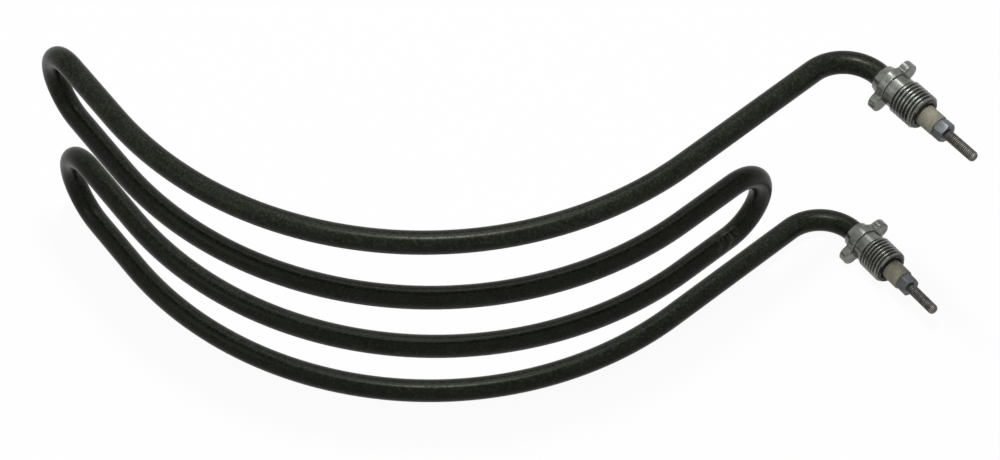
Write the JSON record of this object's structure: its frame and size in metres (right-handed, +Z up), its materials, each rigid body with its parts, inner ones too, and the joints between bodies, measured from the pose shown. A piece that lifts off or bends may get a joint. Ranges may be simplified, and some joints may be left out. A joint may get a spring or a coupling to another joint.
{
  "type": "tubular heating element",
  "caption": "Black tubular heating element bent into a rolled serpentine bow, with a threaded bushing, a ceramic and a screw terminal at each end.",
  "frame": {"origin": "centre of the bottom of the bounding box, on the ground under the element as it stands on its lowest run and its lower bushing", "axes": "+X runs across the front of the bow towards the terminals' side, +Y points from the front of the bow into the space it wraps, +Z is up"},
  "size_m": [0.336, 0.103, 0.1108],
  "materials": {
    "black_sheath": "matte black oxide with a fine grain",
    "magnesia": "compacted powder",
    "resistance_wire": "drawn wire",
    "pin_steel": "dull heat-browned steel",
    "plated_steel": "dull grey plating",
    "nut_steel": "bluish zinc plating",
    "ceramic": "unglazed beige",
    "seal": "silicone resin"
  },
  "bodies": {
    "root": {"sheath": "black_sheath", "heating_coil": "resistance_wire", "magnesia_filling": "magnesia", "bushing_upper": "plated_steel", "insulator_upper": "ceramic", "terminal_nut_upper": "nut_steel", "terminal_pin_upper": "pin_steel", "end_seal_upper": "seal", "bushing_lower": "plated_steel", "insulator_lower": "ceramic", "terminal_nut_lower": "nut_steel", "terminal_pin_lower": "pin_steel", "end_seal_lower": "seal"}
  },
  "joints": []
}
